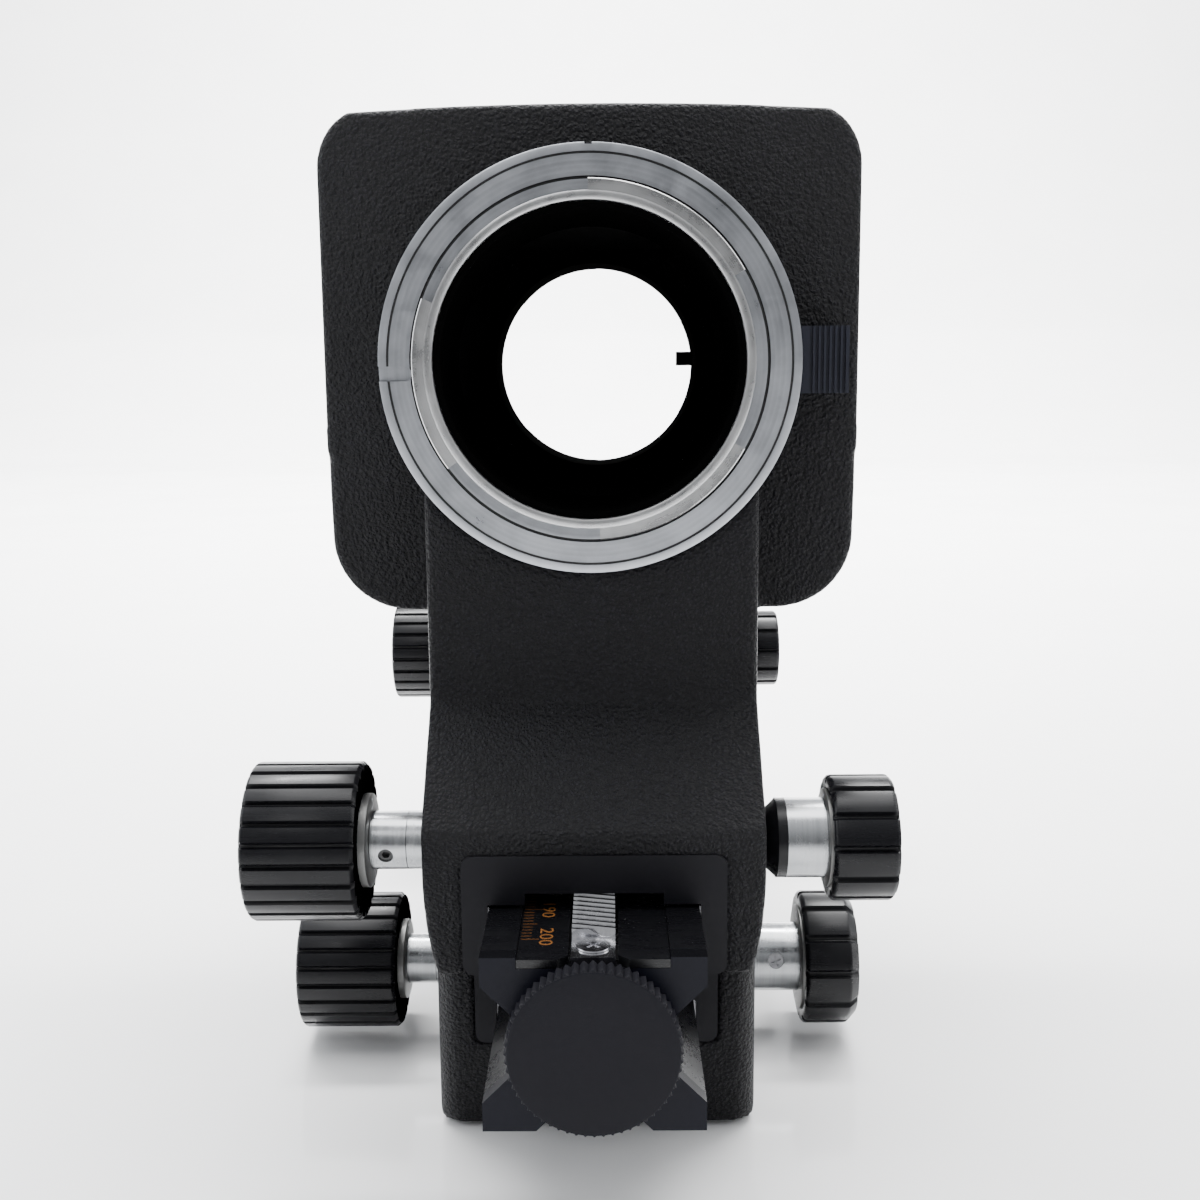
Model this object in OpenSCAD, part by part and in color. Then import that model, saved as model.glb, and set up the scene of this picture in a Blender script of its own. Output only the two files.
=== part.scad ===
// Bellows focusing attachment for a 35 mm single-lens reflex camera.
// Two cast standards joined by a pleated bellows run on a geared rail,
// and the rail runs in a geared tripod block.
// X is right, Y points to the lens, Z is up. The origin is the mouth of the
// tripod socket. All lengths are in millimetres.

/* [Lens axis] */
// Height of the lens axis above the base
axis_z = 110.7; // [100:0.1:125]
// Outer diameter of the camera flange
flange_d = 57.5; // [54:0.5:62]
// Diameter over the camera bayonet lugs
lug_d = 47.0; // [44:0.1:50]
// Inner diameter of the bayonet tube
tube_id = 41.3; // [39:0.1:43]
// Clear diameter of the lens mount
throat_d = 44.0; // [42:0.1:46]

/* [Standards] */
// Width of the standard's square head
head_w = 76.2; // [68:0.2:84]
// Lower edge of the head
head_z0 = 75.2; // [72:0.1:80]
// Upper edge of the head
head_z1 = 146.3; // [138:0.1:152]
// Thickness of the head
head_t = 9.8; // [7:0.1:12]
// Width of the neck and foot
neck_w = 46.6; // [42:0.2:52]
// Distance between the two standards' drive axes
standard_gap = 135; // [110:1:150]
// Height of the standard's drive axis
drive_z = 45; // [44:0.1:46]

/* [Rail] */
// Width of the rail
rail_w = 28.4; // [26:0.2:32]
// Top face of the rail
rail_z1 = 37.9; // [37:0.1:39]
// Bottom face of the rail
rail_z0 = 14.7; // [14:0.1:16]
// Rear end of the rail, end cap included
rail_y0 = -59.9; // [-70:0.1:-50]
// Front end of the rail, end cap included
rail_y1 = 149.9; // [130:0.1:160]
// Thickness of each end cap
cap_t = 2.4; // [2:0.1:6]
// Diameter of the knurled end knobs
end_knob_d = 22.3; // [18:0.1:26]

/* [Gearing] */
// Pitch of the rack teeth along the rail
rack_pitch = 1.5708; // [1.5:0.0001:1.65]
// Slant of the rack teeth in degrees
rack_slant = 15; // [0:1:20]
// Teeth on the standards' pinions
upper_teeth = 26; // [24:1:28]
// Teeth on the block's pinion
lower_teeth = 13; // [12:1:14]

/* [Block] */
// Width of the tripod block
block_w = 46.9; // [42:0.1:52]
// Rear face of the tripod block
block_y0 = -32; // [-40:0.5:-25]
// Front face of the tripod block
block_y1 = 38; // [30:0.5:50]
// Height of the tripod block
block_h = 27.3; // [26:0.1:28]
// Radius of the tripod socket
socket_r = 3.2; // [2.5:0.1:5]
// Depth of the tripod socket
socket_h = 6.5; // [5:0.1:7]

/* [Knobs] */
// Diameter of the drive knobs
drive_knob_d = 22; // [18:0.2:26]
// Flutes on each drive knob
drive_flutes = 24; // [18:1:30]
// Diameter of the standards' clamp knobs
clamp_knob_d = 17.4; // [15:0.2:22]
// Diameter of the block's clamp knob
block_knob_d = 21.7; // [18:0.2:24]
// Lobes on each clamp knob
clamp_lobes = 12; // [8:1:16]

/* [Bellows] */
// Outer width of the bellows
bellows_w = 62; // [56:0.5:66]
// Depth of each pleat
pleat_depth = 7; // [4:0.5:9]
// Number of pleats
pleats = 14; // [10:1:18]

/* [Hidden] */

rear_axis_y = -35.8;
front_axis_y = rear_axis_y + standard_gap;
mid2 = rear_axis_y + front_axis_y;
apex = 6.4;
rail_mid = (rail_z0 + rail_z1) / 2;
wing_z0 = rail_mid - (rail_w / 2 - apex);
wing_z1 = rail_mid + (rail_w / 2 - apex);
foot_z = 28.3;
head_y0 = -21.8;
head_y1 = head_y0 + head_t;
pin_up_r = upper_teeth * rack_pitch / (2 * PI);
pin_lo_r = lower_teeth * rack_pitch / (2 * PI);
add = rack_pitch / PI;
block_drive_z = 11.8;
crinkle = [0.11, 0.11, 0.125];
satin = [0.17, 0.17, 0.19];
gloss = [0.04, 0.04, 0.045];
metal = [0.78, 0.78, 0.79];
steel = [0.66, 0.66, 0.68];

// Outline in X and Z, drawn out from y0 to y1.
module along_y(y0, y1) { translate([0, y1, 0]) rotate([90, 0, 0]) linear_extrude(height = y1 - y0) children(); }
// Outline in Y and Z, drawn out from x0 to x1.
module along_x(x0, x1) { translate([x0, 0, 0]) rotate([90, 0, 90]) linear_extrude(height = x1 - x0) children(); }
module rod_y(y0, y1, r, fn = 96) { translate([0, y1, 0]) rotate([90, 0, 0]) cylinder(h = y1 - y0, r = r, $fn = fn); }
module rod_x(x0, x1, r, fn = 64) { translate([x0, 0, 0]) rotate([0, 90, 0]) cylinder(h = x1 - x0, r = r, $fn = fn); }
module box(a, b) { translate(a) cube(b - a); }
module to_front() { translate([0, mid2, 0]) mirror([0, 1, 0]) children(); }
module round_rect(x0, y0, x1, y1, r) {
  translate([x0 + r, y0]) square([x1 - x0 - 2 * r, y1 - y0]);
  translate([x0, y0 + r]) square([x1 - x0, y1 - y0 - 2 * r]);
  for (x = [x0 + r, x1 - r], y = [y0 + r, y1 - r]) translate([x, y]) circle(r = r, $fn = 32);
}

// ---- gearing -------------------------------------------------------------
// A rack from y0 to y1, teeth up at pitch height zp, its body down to zb.
// One tooth space is centred at y = ref on the middle line.
module slant_rack(y0, y1, zp, zb, ref, w, dir = 1) {
  pn = rack_pitch * cos(rack_slant);
  a = add * 0.95;
  d = add * 1.2;
  k0 = floor((y0 - ref) / rack_pitch) - 3;
  k1 = ceil((y1 - ref) / rack_pitch) + 3;
  intersection() {
    box([-w / 2, y0, min(zb, zp + dir * a)], [w / 2, y1, max(zb, zp + dir * a)]);
    translate([0, ref, 0]) rotate([0, 0, -rack_slant]) along_x(-w - (y1 - y0) * 0.3, w + (y1 - y0) * 0.3)
      polygon(concat(
        [for (k = [k0:k1]) each [
          [(k + 0.5) * pn - pn * 0.25 - d * 0.36, zp - dir * d], [(k + 0.5) * pn - pn * 0.25 + a * 0.36, zp + dir * a],
          [(k + 0.5) * pn + pn * 0.25 - a * 0.36, zp + dir * a], [(k + 0.5) * pn + pn * 0.25 + d * 0.36, zp - dir * d]]],
        [[(k1 + 1) * pn, zp - dir * d], [(k1 + 1) * pn, zb - dir], [(k0 - 0) * pn, zb - dir], [(k0 - 0) * pn, zp - dir * d]]));
  }
}
// Slanted pinion, w wide about the middle line; one tooth points along -Z (up = false) or +Z.
module slant_pinion(n, w, up = false) {
  r = n * rack_pitch / (2 * PI);
  tw = tan(rack_slant) * w / r * 180 / PI * (up ? -1 : 1);
  step = 360 / n;
  ht = 90 / n * 0.76;
  ro = r + add * 0.92;
  rr = r - add * 1.25;
  rotate([0, 90, 0]) rotate([0, 0, tw / 2]) translate([0, 0, -w / 2])
    linear_extrude(height = w, twist = tw, slices = 6)
      polygon([for (k = [0:n - 1]) let (c = k * step + (up ? 180 : 0)) each [
        rr * [cos(c - ht * 1.95), sin(c - ht * 1.95)], r * [cos(c - ht), sin(c - ht)],
        ro * [cos(c - ht * 0.42), sin(c - ht * 0.42)], ro * [cos(c + ht * 0.42), sin(c + ht * 0.42)],
        r * [cos(c + ht), sin(c + ht)], rr * [cos(c + ht * 1.95), sin(c + ht * 1.95)]]]);
}

// ---- knobs ---------------------------------------------------------------
// Fluted drive knob from x0 (outer face) to x1, hollowed on its inner face.
module drive_knob(x0, x1, d, bore) {
  r = d / 2;
  difference() {
    union() {
      rod_x(x0 + 0.8, x1 - 1.6, r);
      rod_x(x0, x0 + 0.9, r - 0.8);
      rod_x(x1 - 1.7, x1 - 0.8, r - 0.8);
      rod_x(x1 - 1, x1, 6.8);
    }
    for (i = [0:drive_flutes - 1]) rotate([i * 360 / drive_flutes, 0, 0])
      translate([0, 0, r + 0.35]) rod_x(x0 - 1, x1 + 1, 0.95, 20);
    rod_x(x0 + 4, x1 + 1, bore);
  }
}
// Lobed clamp knob from x0 (inner face) to x1.
module clamp_knob(x0, x1, d, bore) {
  r = d / 2;
  difference() {
    union() {
      rod_x(x0 + 0.7, x1 - 0.9, r);
      rod_x(x0, x0 + 0.8, r - 0.7);
      rod_x(x1 - 1, x1, r - 0.9);
    }
    for (i = [0:clamp_lobes - 1]) rotate([i * 360 / clamp_lobes, 0, 0])
      translate([0, 0, r + 1.15]) rod_x(x0 - 1, x1 + 1, 1.95, 24);
    rod_x(x0 - 1, x1 - 3, bore);
    rod_x(x1 - 0.6, x1 + 1, r - 3.2);
  }
}

// ---- slides --------------------------------------------------------------
// Wedge bar that lies in one side notch of the rail; z0 and z1 bound it, up for a standard.
module gib(y0, y1, up) {
  g = 0.12;
  s = up ? 1 : -1;
  zf = up ? foot_z : block_h;
  ze = up ? wing_z1 : wing_z0;
  xo = 17;
  xi = rail_w / 2 + g;
  xs = apex + abs(zf - rail_mid) + g * 1.5;
  zt = up ? rail_z1 - 0.2 : rail_z0 + 0.4;
  along_y(y0, y1) polygon([[xo, zf], [xs, zf], [xi, ze - s * (g * 0.5)], [xi, zt], [xo, zt]]);
}
module gib_pair(y0, y1, up) { gib(y0, y1, up); mirror([1, 0, 0]) gib(y0, y1, up); }

// ---- tripod block --------------------------------------------------------
module block_casting() color(crinkle) difference() {
  linear_extrude(height = block_h) round_rect(-block_w / 2, block_y0, block_w / 2, block_y1, 3.5);
  box([-17, block_y0 - 1, 14.3], [17, block_y1 + 1, block_h + 1]);
  box([-17.8, block_y0 - 1, 12.5], [17.8, block_y0 + 1.5, block_h + 1]);
  box([-17.8, block_y1 - 1.5, 12.5], [17.8, block_y1 + 1, block_h + 1]);
  box([-4.4, -4.4, 7.6], [4.4, 4.4, 15]);
  translate([0, 0, block_drive_z]) {
    rod_x(-30, -17.2, 4.5);
    rod_x(-18, 18, 2.3);
    rod_x(17.2, 30, 4.5);
  }
  translate([0, 0, -1]) cylinder(h = 8.3, r = 7, $fn = 64);
}
module block_end_plates() color(satin) for (m = [0, 1])
  translate([0, m * (block_y0 + block_y1), 0]) mirror([0, m, 0]) difference() {
    along_y(block_y0, block_y0 + 1.4) round_rect(-17.7, 12.6, 17.7, block_h, 1.5);
    along_y(block_y0 - 1, block_y0 + 3) polygon([[-14.6, 14.3], [14.6, 14.3], [14.6, 18.7], [7.2, 25.9], [7.2, 26.4], [8.8, 28], [-8.8, 28], [-7.2, 26.4], [-7.2, 25.9], [-14.6, 18.7]]);
  }
module block_gibs() color(steel) gib_pair(block_y0 + 1.6, block_y1 - 1.6, false);
module tripod_bush() color(metal) difference() {
  cylinder(h = 7.2, r = 6.95, $fn = 64);
  translate([0, 0, -1]) cylinder(h = 1 + socket_h, r = socket_r, $fn = 64);
}
module block_drive_bush() color(metal) translate([0, 0, block_drive_z]) difference() {
  union() { rod_x(-26.9, -23.6, 4.05); rod_x(-24, -17.4, 4.45); }
  rod_x(-28, -14, 2.25);
}
module block_clamp_cone() color(gloss) translate([0, 0, block_drive_z]) difference() {
  union() { rod_x(17.4, 23.6, 4.45); rod_x(23.5, 23.7, 3.4); translate([23.6, 0, 0]) rotate([0, 90, 0]) cylinder(h = 1.3, r1 = 4.0, r2 = 5.2, $fn = 64); }
  rod_x(12, 26, 2.25);
}
module block_clamp_shoe() color(steel) translate([0, 0, block_drive_z]) rod_x(6.6, 12.6, 2.25);
module block_drive_pinion() color(steel) translate([0, 0, block_drive_z]) {
  slant_pinion(lower_teeth, 5.2, true);
  rod_x(-39, 4, 2.2);
}
module block_drive_collar() color(metal) translate([0, 0, block_drive_z]) difference() {
  rod_x(-31.8, -27.0, 4.05);
  rod_x(-34, -26, 2.2);
}
module block_drive_knob() color(gloss) translate([0, 0, block_drive_z]) drive_knob(-48.9, -31.9, drive_knob_d, 2.2);
module block_clamp_screw() color(steel) translate([0, 0, block_drive_z]) rod_x(13, 39.3, 2.2);
module block_clamp_sleeve() color(metal) translate([0, 0, block_drive_z]) difference() {
  rod_x(25.1, 33.35, 5.6);
  rod_x(24, 34, 2.2);
  rotate([75, 0, 0]) translate([29.4, 0, 2.3]) cylinder(h = 5, r = 1.3, $fn = 32);
}
module block_sleeve_screw() color(steel) translate([0, 0, block_drive_z]) rotate([75, 0, 0]) translate([29.4, 0, 0]) difference() {
  translate([0, 0, 2.3]) cylinder(h = 3.15, r = 1.25, $fn = 32);
  for (a = [20, 110]) translate([0, 0, 5.4]) rotate([0, 0, a]) cube([1.7, 0.36, 0.8], center = true);
}
module block_clamp_knob() color(gloss) translate([0, 0, block_drive_z]) clamp_knob(33.4, 42.6, block_knob_d, 2.2);

// ---- rail ----------------------------------------------------------------
module rail_outline() {
  h = rail_w / 2;
  polygon([[-h, rail_z0], [-7.2, rail_z0], [-7.2, 17.5], [7.2, 17.5], [7.2, rail_z0], [h, rail_z0],
           [h, wing_z0], [apex, rail_mid], [h, wing_z1], [h, rail_z1],
           [9.65, rail_z1], [9.65, rail_z1 - 1.4], [-9.65, rail_z1 - 1.4], [-9.65, rail_z1],
           [-h, rail_z1], [-h, wing_z1], [-apex, rail_mid], [-h, wing_z0]]);
}
module rail_extrusion() color(gloss) difference() {
  along_y(rail_y0 + cap_t, rail_y1 - cap_t) rail_outline();
  for (y = [rail_y0 + 3.7, 45, rail_y1 - 3.7]) translate([0, y, rail_z1 - 8]) cylinder(h = 10, r = 1.0, $fn = 24);
}
module rail_upper_rack() color(metal) difference() {
  slant_rack(rail_y0 + 0.3, rail_y1 - 0.3, drive_z - pin_up_r, rail_z1 - 1.4, rear_axis_y, 5.6);
  box([-4, rail_y0 - 1, 37.75], [4, rail_y0 + 6.4, 45]);
  box([-4, rail_y1 - 6.4, 37.75], [4, rail_y1 + 1, 45]);
  for (y = [rail_y0 + 3.7, 45, rail_y1 - 3.7]) translate([0, y, 0]) {
    translate([0, 0, 30]) cylinder(h = 10, r = 1.0, $fn = 24);
    translate([0, 0, 37.3]) cylinder(h = 4, r = 2.25, $fn = 32);
  }
}
module rail_lower_rack() color(steel) slant_rack(rail_y0 + 8, rail_y1 - 8, block_drive_z + pin_lo_r, 17.5, 0, 5.6, -1);
module rail_scale_plates() color(gloss) for (m = [0, 1]) mirror([m, 0, 0])
  translate([0, 0, rail_z1 - 1.4]) linear_extrude(height = 1.1)
    polygon([[3.15, rail_y0 + 1.4], [4.5, rail_y0 + 0.05], [9.6, rail_y0 + 0.05], [9.6, rail_y1 - 0.05], [4.5, rail_y1 - 0.05], [3.15, rail_y1 - 1.4]]);
module rail_rack_screws() color(metal) for (y = [rail_y0 + 3.7, 45, rail_y1 - 3.7]) translate([0, y, 0]) difference() {
  union() { translate([0, 0, 30.2]) cylinder(h = 7.2, r = 1.0, $fn = 24); translate([0, 0, 37.3]) cylinder(h = 0.7, r = 2.15, $fn = 32); }
  for (a = [0, 90]) translate([0, 0, 38]) rotate([0, 0, a + 45]) cube([2.2, 0.4, 0.7], center = true);
}
// End cap: the rail's section with its waist filled out to diagonal arms.
module cap_outline() {
  h = rail_w / 2;
  polygon([[-h, rail_z0], [-7.4, rail_z0], [-5.8, rail_z0 + 1.6], [5.8, rail_z0 + 1.6], [7.4, rail_z0], [h, rail_z0],
           [h, wing_z0], [apex, rail_mid], [h, wing_z1], [h, rail_z1],
           [9.65, rail_z1], [9.65, rail_z1 - 1.45], [-9.65, rail_z1 - 1.45], [-9.65, rail_z1],
           [-h, rail_z1], [-h, wing_z1], [-apex, rail_mid], [-h, wing_z0]]);
}
module rail_rear_cap() color([0.17, 0.18, 0.23]) difference() {
  union() {
    along_y(rail_y0, rail_y0 + cap_t) cap_outline();
    translate([0, 0, 27]) rod_y(rail_y0 - 0.5, rail_y0 + 1, 7);
  }
  translate([0, 0, 27]) rod_y(rail_y0 - 2, rail_y0 + cap_t + 1, 2.55, 48);
}
module rail_front_cap() color([0.17, 0.18, 0.23]) difference() {
  union() {
    along_y(rail_y1 - cap_t, rail_y1) cap_outline();
    translate([0, 0, 27]) rod_y(rail_y1 - 1, rail_y1 + 0.5, 7);
  }
  translate([0, 0, 27]) rod_y(rail_y1 - cap_t - 1, rail_y1 + 2, 2.55, 48);
}
// Knurled end knob: its shank is held in the cap.
module end_knob_shape() {
  r = end_knob_d / 2;
  difference() {
    union() {
      rod_y(-2.9, -0.1, r - 0.05, 120);
      rod_y(-3.3, -2.8, r - 0.5, 96);
      rod_y(-1, 2.3, 2.5, 48);
    }
    for (i = [0:59]) rotate([0, i * 6, 0]) translate([0, 0, r + 0.1]) rotate([0, 45, 0]) box([-0.45, -5, -0.45], [0.45, 1, 0.45]);
  }
}
module rear_end_knob() color(satin) translate([0, rail_y0 - 0.7, 27]) end_knob_shape();
module front_end_knob() color(satin) translate([0, rail_y1 + 0.7, 27]) mirror([0, 1, 0]) end_knob_shape();

// ---- bellows -------------------------------------------------------------
function bellows_ring(y, h) = let (c = 9) [for (p = [[h, h - c], [h - c, h], [c - h, h], [-h, h - c], [-h, c - h], [c - h, -h], [h - c, -h], [h, c - h]])
  [p[0], y, axis_z + p[1]]];
function pleat_half(i) = bellows_w / 2 - (i % 2 == 0 ? pleat_depth : 0);
function quad(a, b, c, d, f) = f ? [[a, b, c], [a, c, d]] : [[a, c, b], [a, d, c]];
module bellows() color([0.06, 0.06, 0.06]) {
  y0 = head_y1 + 2.7;
  y1 = mid2 - y0;
  n = pleats * 2;
  st = (y1 - y0) / n;
  pts = concat(
    [for (i = [0:n]) each bellows_ring(y0 + i * st, pleat_half(i))],
    [for (i = [0:n]) each bellows_ring(y0 + i * st, pleat_half(i) - 1.0)]);
  o = (n + 1) * 8;
  polyhedron(points = pts, faces = concat(
    [for (i = [0:n - 1], k = [0:7]) each quad(i * 8 + k, i * 8 + (k + 1) % 8, (i + 1) * 8 + (k + 1) % 8, (i + 1) * 8 + k, false)],
    [for (i = [0:n - 1], k = [0:7]) each quad(o + i * 8 + k, o + i * 8 + (k + 1) % 8, o + (i + 1) * 8 + (k + 1) % 8, o + (i + 1) * 8 + k, true)],
    [for (k = [0:7]) each quad(k, (k + 1) % 8, o + (k + 1) % 8, o + k, true)],
    [for (k = [0:7]) each quad(n * 8 + k, n * 8 + (k + 1) % 8, o + n * 8 + (k + 1) % 8, o + n * 8 + k, false)]));
}
module bellows_rear_frame() color(satin) difference() {
  along_y(head_y1 + 0.02, head_y1 + 2.5) translate([0, axis_z]) round_rect(-31, -31, 31, 31, 4);
  along_y(head_y1 - 1, head_y1 + 4) translate([0, axis_z]) square([53, 53], center = true);
}
module bellows_front_frame() to_front() bellows_rear_frame();

// ---- standards -----------------------------------------------------------
module head_outline(lower_only = false) {
  h = head_w / 2;
  intersection() {
    union() {
      round_rect(-h, head_z0 + 16, h, head_z1, 8.5);
      round_rect(-h + 0.3, head_z0, h - 0.3, head_z1 - 20, 11);
    }
    translate([0, head_z1 - 545]) circle(r = 545, $fn = 360);
  }
}
module foot_side() {
  polygon([[-30.2, 96], [-30.2, 63.5], [-43.8, 48.6], [-43.8, foot_z], [-8, foot_z], [-8, 52], [-12, 60], [-12, 96]]);
}
module foot_front() {
  n = neck_w / 2;
  polygon([[-n + 1.9, foot_z], [n - 1.9, foot_z], [n - 1.0, 31.5], [n - 0.3, 36], [n, 41], [n, 96], [-n, 96], [-n, 41], [-n + 0.3, 36], [-n + 1.0, 31.5]]);
}
module standard_casting(bore_r, boss_r, boss_y) {
  difference() {
    union() {
      along_y(head_y0, head_y1) head_outline();
      intersection() { along_x(-30, 30) foot_side(); along_y(-50, 0) foot_front(); }
      translate([0, 0, axis_z]) rod_y(boss_y, head_y0 + 1, boss_r);
    }
    translate([0, 0, axis_z]) { rod_y(-50, 0, bore_r, 120); rod_y(-50, -29.7, 29.35, 120); }
    box([-17, -50, foot_z - 1], [17, 0, 38.6]);
    box([-9.5, -50, 38], [9.5, 0, 40.1]);
    for (y = [-44.8, -8.6]) along_y(y, y + 1.6) round_rect(-18.05, foot_z - 4, 18.05, 45.35, 1.6);
    translate([0, rear_axis_y, drive_z]) {
      rod_x(-4, 4, pin_up_r + add + 0.2);
      rod_x(-30, -14, 4.5);
      rod_x(-15, 0, 3);
      rod_x(0, 30, 4.5);
    }
  }
}
module standard_plates() color(satin) for (y = [-43.8, -8.6]) difference() {
  along_y(y, y + 0.6) round_rect(-18, foot_z + 0.05, 18, 45.3, 1.6);
  box([-14.45, y - 1, foot_z - 1], [14.45, y + 2, 38.4]);
  box([-9.4, y - 1, 38], [9.4, y + 2, 40]);
}
module standard_gibs() color(steel) gib_pair(-42.8, -9, true);
module drive_bush() color(metal) difference() {
  union() { rod_x(-25.8, -23.35, 4.03); rod_x(-23.4, -14.2, 4.45); }
  rod_x(-28, -14, 2.55);
}
module clamp_cone() color(gloss) difference() {
  union() {
    rod_x(13, 23.4, 4.45);
    translate([23.35, 0, 0]) rotate([0, 90, 0]) cylinder(h = 1.95, r1 = 3.7, r2 = 5.5, $fn = 64);
    rod_x(25.2, 26.45, 5.5);
  }
  rod_x(12, 27, 2.55);
}
module clamp_shoe() color(steel) rod_x(6.6, 12.6, 4.3);
module drive_shaft() color(steel) { slant_pinion(upper_teeth, 5.2); rod_x(-38, 4, 2.5); }
module drive_collar() color(metal) difference() {
  rod_x(-30.9, -25.9, 4.03);
  rod_x(-34, -25, 2.5);
  rotate([105, 0, 0]) translate([-28.7, 0, 2.5]) cylinder(h = 3, r = 1.05, $fn = 24);
}
module drive_screw() color([0.1, 0.1, 0.1]) rotate([105, 0, 0]) translate([-28.7, 0, 2.55]) difference() {
  cylinder(h = 1.1, r = 1.03, $fn = 24);
  translate([0, 0, 0.4]) cylinder(h = 2, r = 0.6, $fn = 6);
}
module clamp_sleeve() color(metal) difference() {
  rod_x(26.5, 31.95, 5.53);
  rod_x(26, 34, 2.5);
}
module at_rear_axis() { translate([0, rear_axis_y, drive_z]) children(); }
module at_front_axis() { translate([0, front_axis_y, drive_z]) children(); }

module rear_standard_casting() color(crinkle) difference() {
  standard_casting(22.1, 27, -29.7);
  box([22.8, -29.2, axis_z - 3.2], [28, -26.3, axis_z + 2.4]);
}
module rear_standard_plates() standard_plates();
module rear_standard_gibs() standard_gibs();
module rear_drive_bush() at_rear_axis() drive_bush();
module rear_clamp_cone() at_rear_axis() clamp_cone();
module rear_clamp_shoe() at_rear_axis() clamp_shoe();
module rear_drive_pinion() at_rear_axis() drive_shaft();
module rear_drive_collar() at_rear_axis() drive_collar();
module rear_drive_screw() at_rear_axis() drive_screw();
module rear_drive_knob() color(gloss) at_rear_axis() drive_knob(-47.3, -31.0, drive_knob_d, 2.5);
module rear_clamp_screw() color(steel) at_rear_axis() rod_x(13, 38.2, 2.5);
module rear_clamp_sleeve() at_rear_axis() clamp_sleeve();
module rear_clamp_knob() color(gloss) at_rear_axis() clamp_knob(32.0, 41.4, clamp_knob_d, 2.5);

// ---- camera mount --------------------------------------------------------
module camera_flange() color(metal) difference() {
  union() {
    translate([0, 0, axis_z]) rod_y(-32, -30.6, flange_d / 2, 180);
    translate([0, 0, axis_z]) rod_y(-31, -29.85, flange_d / 2 - 1.2, 180);
  }
  translate([0, 0, axis_z]) {
    rod_y(-33, -29, 22.04, 120);
    difference() { rod_y(-32.5, -31.8, 27.6, 180); rod_y(-33, -31, 27.35, 180); }
  }
  box([-30, -33, axis_z - 2.3], [-25.2, -31.0, axis_z - 0.3]);
  translate([-25.2, 0, axis_z - 1.3]) rod_y(-33, -31.0, 1.0, 24);
  box([-0.55, -33, axis_z + 28.35], [0.55, -29, axis_z + 30]);
}
module sector(r, a0, a1) { polygon(concat([[0, 0]], [for (i = [0:6]) r * [cos(a0 + (a1 - a0) * i / 6), sin(a0 + (a1 - a0) * i / 6)]])); }
module camera_bayonet_tube() color(metal) translate([0, 0, axis_z]) difference() {
  union() {
    rod_y(-37.5, -12.2, 22.0, 120);
    for (a = [-29.3, 90, 216]) intersection() {
      rod_y(-37.2, -35.6, lug_d / 2, 120);
      along_y(-38, -35) sector(40, a - 58, a);
    }
  }
  rod_y(-38, -11, tube_id / 2, 120);
}
module camera_light_baffle() color([0.03, 0.03, 0.03]) translate([0, 0, axis_z]) difference() {
  rod_y(-36.9, -12.4, tube_id / 2 - 0.02, 96);
  rod_y(-38, -10, 19.75, 96);
}
module mount_retaining_ring() color(steel) translate([0, 0, axis_z]) difference() {
  rod_y(-11.9, -10.6, 25.2);
  rod_y(-13, -10, 21.5);
  for (a = [0, 180]) rotate([0, a, 0]) box([23.6, -13, -0.8], [27, -10, 0.8]);
}
module mount_release_lever() color([0.13, 0.14, 0.18]) difference() {
  union() {
    box([27.3, -29.6, axis_z - 4.4], [35.4, -22.2, axis_z + 4.7]);
    box([23.6, -28.9, axis_z - 2.9], [28, -26.6, axis_z + 2.1]);
  }
  for (i = [0:6]) translate([30.2 + i * 0.75, 0, 0]) box([-0.22, -31, axis_z - 6], [0.22, -29.1, axis_z + 6]);
}

// ---- front standard ------------------------------------------------------
module front_standard_casting() color(crinkle) to_front() difference() {
  standard_casting(throat_d / 2 + 0.2, 29, -29.7);
  box([24.8, -27.3, axis_z - 5], [40, -22.6, axis_z + 1.2]);
  translate([26.4, 0, axis_z - 1.8]) rod_y(-31, -22.6, 1.6, 24);
}
module front_standard_plates() to_front() standard_plates();
module front_standard_gibs() to_front() standard_gibs();
module front_drive_bush() at_front_axis() drive_bush();
module front_clamp_cone() at_front_axis() clamp_cone();
module front_clamp_shoe() at_front_axis() clamp_shoe();
// Turned a little so that its teeth stand in the rack's spaces at the front axis.
module front_drive_pinion() at_front_axis()
  rotate([(round(standard_gap / rack_pitch) * rack_pitch - standard_gap) / pin_up_r * 180 / PI, 0, 0]) drive_shaft();
module front_drive_collar() at_front_axis() drive_collar();
module front_drive_knob() color(gloss) at_front_axis() drive_knob(-47.3, -31.0, drive_knob_d, 2.5);
module front_clamp_screw() color(steel) at_front_axis() rod_x(13, 38.2, 2.5);
module front_clamp_sleeve() at_front_axis() clamp_sleeve();
module front_clamp_knob() color(gloss) at_front_axis() clamp_knob(32.0, 41.4, clamp_knob_d, 2.5);
module lens_mount_ring() color(metal) to_front() translate([0, 0, axis_z]) difference() {
  union() {
    difference() {
      rod_y(-32.4, -29.75, 29, 180);
      rod_y(-33, -31.2, throat_d / 2, 120);
      rod_y(-31.3, -29, throat_d / 2 + 1.2, 120);
    }
    difference() {
      rod_y(-32.2, -31.2, throat_d / 2 + 0.5, 120);
      for (a = [27, 140, 270]) along_y(-34, -28) sector(40, a, a + [63, 82, 60][floor(a / 110)]);
    }
  }
  rod_y(-34, -28, throat_d / 2 - 0.9, 120);
  for (a = [12, 84, 156, 228, 300]) rotate([0, a, 0]) translate([0, 0, 26.4]) { rod_y(-33, -29, 1.1, 24); rod_y(-33, -31.6, 1.75, 24); }
  translate([26.4, 0, -1.8]) rod_y(-33, -29, 1.6, 24);
}
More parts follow.
